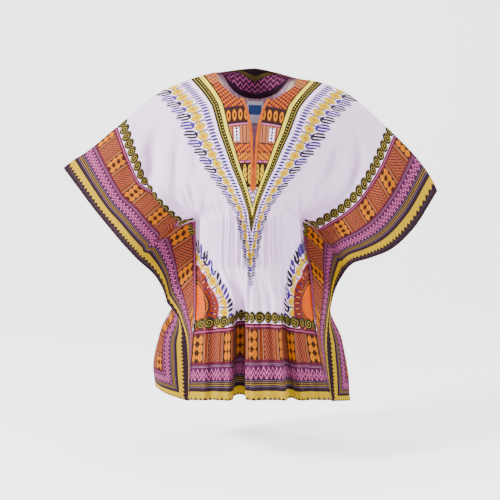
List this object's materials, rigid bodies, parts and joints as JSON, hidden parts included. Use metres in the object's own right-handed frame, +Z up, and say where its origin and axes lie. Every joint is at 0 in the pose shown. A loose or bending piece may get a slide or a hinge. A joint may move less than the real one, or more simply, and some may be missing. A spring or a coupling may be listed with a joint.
{
  "type": "dashiki top",
  "caption": "Women's loose dashiki top with butterfly sleeves, a bound neck slit and a smocked waist, filled out as if worn.",
  "frame": {"origin": "on the wearer's centre line at the height of the shoulder points, in the plane of the shoulder seam", "axes": "+X to the viewer's right when the front is seen, -Y out of the front, +Z up"},
  "size_m": [0.7854, 0.293, 0.7194],
  "materials": {
    "printed_cotton": "matt printed cotton",
    "printed_cotton_back": "matt printed cotton",
    "orange_binding": "matt cotton tape",
    "facing_cotton": "matt printed cotton",
    "label_tape": "satin woven tape"
  },
  "bodies": {
    "root": {"front": "printed_cotton", "back": "printed_cotton_back", "slit_binding": "orange_binding", "neck_facing": "facing_cotton", "label": "label_tape"}
  },
  "joints": []
}
